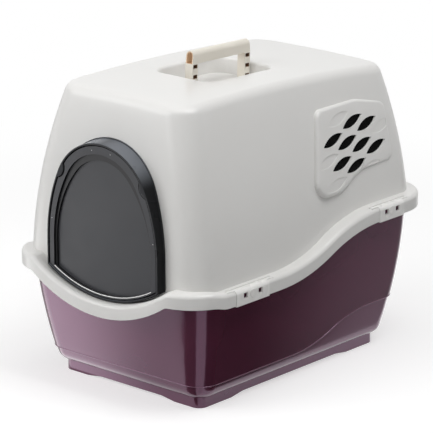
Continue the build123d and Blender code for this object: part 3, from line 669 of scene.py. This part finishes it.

# %% [markdown]
# The flap is one smoked grey moulding. Its steps drop almost straight. Their walls between the
# border and the panel are painted black, a painted shade for the deep shade that falls in them.
# The ledge between the two steps lies in their shade, and that is painted nearly black as well.
# The walls are found by where the surface faces, and the ledge by how far back it lies.

# %% Flap
FLAP_SMOKE = (0.046, 0.047, 0.053)
FLAP_DEEP = (0.041, 0.042, 0.048)
STEP_WALL_PAINTED_SHADE = (0.003, 0.003, 0.004)
LEDGE_PAINTED_SHADE = (0.014, 0.014, 0.016)
LEDGE_Y = -0.2364
LEDGE_REACH = 0.0012
WALL_FACING = 0.3
SHEET_FACING = 0.9

flap_smoke = moulded_plastic("flap_smoke", FLAP_SMOKE, FLAP_DEEP,
                             smooth=0.32, dull=0.42, peel=0.05, edge_round=0.0003)
set_values(shader_of(flap_smoke), Specular_IOR_Level=0.4)
tree = flap_smoke.node_tree
# Painted shade: the ledge between the steps is painted nearly black.
off_ledge = sum_of(tree, "ABSOLUTE", sum_of(tree, "SUBTRACT", place_of(tree)[1], LEDGE_Y))
on_ledge = spread(tree, off_ledge, 1.0, 0.0, LEDGE_REACH / 2, LEDGE_REACH)
lay_over(flap_smoke, on_ledge, LEDGE_PAINTED_SHADE)
# Painted shade: the steps' walls are painted black.
faces_out = sum_of(tree, "ABSOLUTE", facing_of(tree)[1])
lay_over(flap_smoke, spread(tree, faces_out, 1.0, 0.0, WALL_FACING, SHEET_FACING), STEP_WALL_PAINTED_SHADE)
dress(flap_smoke, "door_flap")

# %% [markdown]
# The lower step of the flap ends in a bead, which draws a bright line across the foot of the
# window. It is a thin tube swept along the arc of the sill, with its ends closed, and painted near
# white: a painted highlight for the light that the step's edge catches.

# %% Painted highlight bead of the flap
SILL_CENTER_Z = 0.3225
BEAD_ARC_RADIUS = 0.1776
BEAD_HALF_X = 0.0868
BEAD_RADIUS = 0.00070
BEAD_Y = -0.2391
BEAD_STEPS = 72
BEAD_SIDES = 10
HIGHLIGHT_LIGHT = (0.95, 0.95, 0.95)
HIGHLIGHT_DEEP = (0.90, 0.90, 0.90)

path = []
for step in range(BEAD_STEPS + 1):
    x = BEAD_HALF_X * (2 * step / BEAD_STEPS - 1)
    path.append(Vector((x, BEAD_Y, SILL_CENTER_Z - math.sqrt(BEAD_ARC_RADIUS ** 2 - x ** 2))))
# Painted highlight: the bead and the ejector marks are painted near white.
painted_highlight_white = moulded_plastic("painted_highlight_white", HIGHLIGHT_LIGHT, HIGHLIGHT_DEEP,
                              smooth=0.10, dull=0.14, peel=0.01)
to_door = Vector((0.0, -1.0, 0.0))
bead = bead_along(path, [to_door] * len(path), BEAD_RADIUS, BEAD_SIDES, False)
add_piece("flap_highlight_bead", bead, painted_highlight_white, "flap")

# %% [markdown]
# Four round marks on the border are what the ejector pins of the mould leave behind. Each is a
# shallow dome: a ball that is flattened until it stands a quarter of a millimetre proud. They are
# painted near white, a painted highlight for the light that the small domes catch.

# %% Ejector marks of the flap
PIP_PLACES = ((-0.0165, 0.3392), (0.0165, 0.3392), (-0.0902, 0.2330), (0.0902, 0.2330))
PIP_RADIUS = 0.0006
PIP_RISE = 0.00025
PIP_SEGMENTS = 20
PIP_RINGS = 12
BORDER_Y = -0.2392

pips = bmesh.new()
flatten = Matrix.Diagonal((PIP_RADIUS, PIP_RISE, PIP_RADIUS, 1.0))
for x, z in PIP_PLACES:
    bmesh.ops.create_uvsphere(pips, u_segments=PIP_SEGMENTS, v_segments=PIP_RINGS, radius=1.0,
                              matrix=Matrix.Translation((x, BORDER_Y, z)) @ flatten)
# The marks are painted near white, a painted highlight.
add_piece("flap_ejector_marks", pips, painted_highlight_white, "flap")

# %% [markdown]
# The handle is ivory and thin, and its plastic is made like the others. The bore of its bar and
# the windows in its legs get painted light and shade of their own, and have to be found by their
# place. They lie square to the roof, which leans a little, so a Mapping node turns the object's
# coordinates into ones that stand on the roof's pocket.

# %% Carry handle
HANDLE_LIGHT = (0.86, 0.815, 0.73)
HANDLE_DEEP = (0.83, 0.785, 0.695)
POCKET_CENTER_Y = -0.010
POCKET_TOP_Z = 0.40981
POCKET_TILT = 0.033109

handle_ivory = moulded_plastic("handle_ivory", HANDLE_LIGHT, HANDLE_DEEP,
                               smooth=0.30, dull=0.40, peel=0.05)
tree = handle_ivory.node_tree
on_roof = add(tree, "ShaderNodeMapping", vector_type="TEXTURE")
set_values(on_roof, Location=(0.0, POCKET_CENTER_Y, POCKET_TOP_Z),
           Rotation=(-POCKET_TILT, 0.0, 0.0))
tree.links.new(add(tree, "ShaderNodeTexCoord").outputs["Object"], on_roof.inputs["Vector"])
across, along, up = xyz_of(tree, on_roof.outputs["Vector"])
dress(handle_ivory, "carry_handle")

# %% [markdown]
# Light passes through the handle's thin wall and bounces inside. The bore of the bar is painted a
# warm, darker orange, painted light and shade for that bounced light and the shade inside it. The
# windows in the legs are painted brown, a painted shade. Two masks find them: one by the distance
# from the bar's axis, and one by the place on a leg. Where both steps of a mask hold, their
# product is one.

# %% Painted light and shade inside the handle
BORE_PAINTED_LIGHT = (0.84, 0.63, 0.44)
WINDOW_PAINTED_SHADE = (0.30, 0.17, 0.095)
BAR_AXIS_RISE = 0.0239
BAR_FOOT = 0.0133
BORE_EDGE = 0.0058
LEG_CENTER = 0.0529
WINDOW_EDGE = 0.0045
LEG_SKIN = 0.0063
WINDOW_BACK = -0.0022


def all_of(tree, first, *others):
    """1 where each of some tests is 1."""
    for other in others:
        first = sum_of(tree, "MULTIPLY", first, other)
    return first


above_axis = sum_of(tree, "MAXIMUM", sum_of(tree, "SUBTRACT", up, BAR_AXIS_RISE), 0.0)
squares = [sum_of(tree, "POWER", value, 2.0) for value in (across, above_axis)]
radius = sum_of(tree, "SQRT", sum_of(tree, "ADD", *squares))
in_bore = all_of(tree, sum_of(tree, "LESS_THAN", radius, BORE_EDGE),
                 sum_of(tree, "GREATER_THAN", up, BAR_FOOT))
along_leg = sum_of(tree, "SUBTRACT", sum_of(tree, "ABSOLUTE", along), LEG_CENTER)
off_leg = sum_of(tree, "ABSOLUTE", along_leg)
in_window = all_of(tree, sum_of(tree, "LESS_THAN", off_leg, WINDOW_EDGE),
                   sum_of(tree, "LESS_THAN", across, LEG_SKIN),
                   sum_of(tree, "GREATER_THAN", across, WINDOW_BACK),
                   sum_of(tree, "LESS_THAN", up, BAR_FOOT))
# Painted light and shade: a warm darker orange in the bore, a brown shade in the windows.
lay_over(handle_ivory, in_bore, BORE_PAINTED_LIGHT)
lay_over(handle_ivory, in_window, WINDOW_PAINTED_SHADE)
print("bore glows within", BORE_EDGE, "m of the bar's axis")

# %% [markdown]
# Behind the vents sits a charcoal filter: black non-woven felt. Felt is a mat of short fibres, so
# a stretched noise runs two ways across it, and the same mat drives the colour and the relief. It
# swallows nearly all light, so the slots in front of it look black.

# %% Filter felt
FELT_BLACK = (0.0025, 0.0025, 0.0025)
FELT_GREY = (0.0090, 0.0090, 0.0085)
FIBRE_SCALE = 260.0
FIBRE_DETAIL = 4.0
FIBRE_STRETCH = 6.0
MAT_START = 0.8
MAT_END = 1.2
FELT_STRENGTH = 0.8
FELT_DEPTH = 0.0006

filter_charcoal = moulded_plastic("filter_charcoal", FELT_BLACK, FELT_GREY,
                                  smooth=0.90, dull=1.00, peel=0.0)
felt_shader = shader_of(filter_charcoal)
set_values(felt_shader, Specular_IOR_Level=0.05)
tree = filter_charcoal.node_tree
fibres = []
for stretch in ((1.0, FIBRE_STRETCH, 1.0), (1.0, 1.0, FIBRE_STRETCH)):
    squeeze = add(tree, "ShaderNodeMapping")
    set_values(squeeze, Scale=stretch)
    tree.links.new(add(tree, "ShaderNodeTexCoord").outputs["Object"], squeeze.inputs["Vector"])
    fibres.append(noise(tree, squeeze.outputs["Vector"], FIBRE_SCALE, FIBRE_DETAIL))
mat = sum_of(tree, "ADD", *fibres)
mat_share = spread(tree, mat, 0.0, 1.0, MAT_START, MAT_END)
mat_tone = blend_tones(tree, mat_share, FELT_BLACK, FELT_GREY)
tree.links.new(mat_tone, felt_shader.inputs["Base Color"])
felt_bump = tree.nodes["Bump"]
set_values(felt_bump, Strength=FELT_STRENGTH, Distance=FELT_DEPTH)
tree.links.new(mat, felt_bump.inputs["Height"])
dress(filter_charcoal, "filter_pad_right", "filter_pad_left")

# %% [markdown]
# The holders clip behind the pads, out of sight. They are the plainest moulding of the box:
# white, matt and a little coarse, because nobody polishes a mould for a part that isn't seen.

# %% Filter holders
HOLDER_LIGHT = (0.66, 0.655, 0.64)
HOLDER_DEEP = (0.62, 0.614, 0.598)

holder_white = moulded_plastic("holder_white", HOLDER_LIGHT, HOLDER_DEEP,
                               smooth=0.55, dull=0.68, peel=0.15)
dress(holder_white, "filter_holder_right", "filter_holder_left")
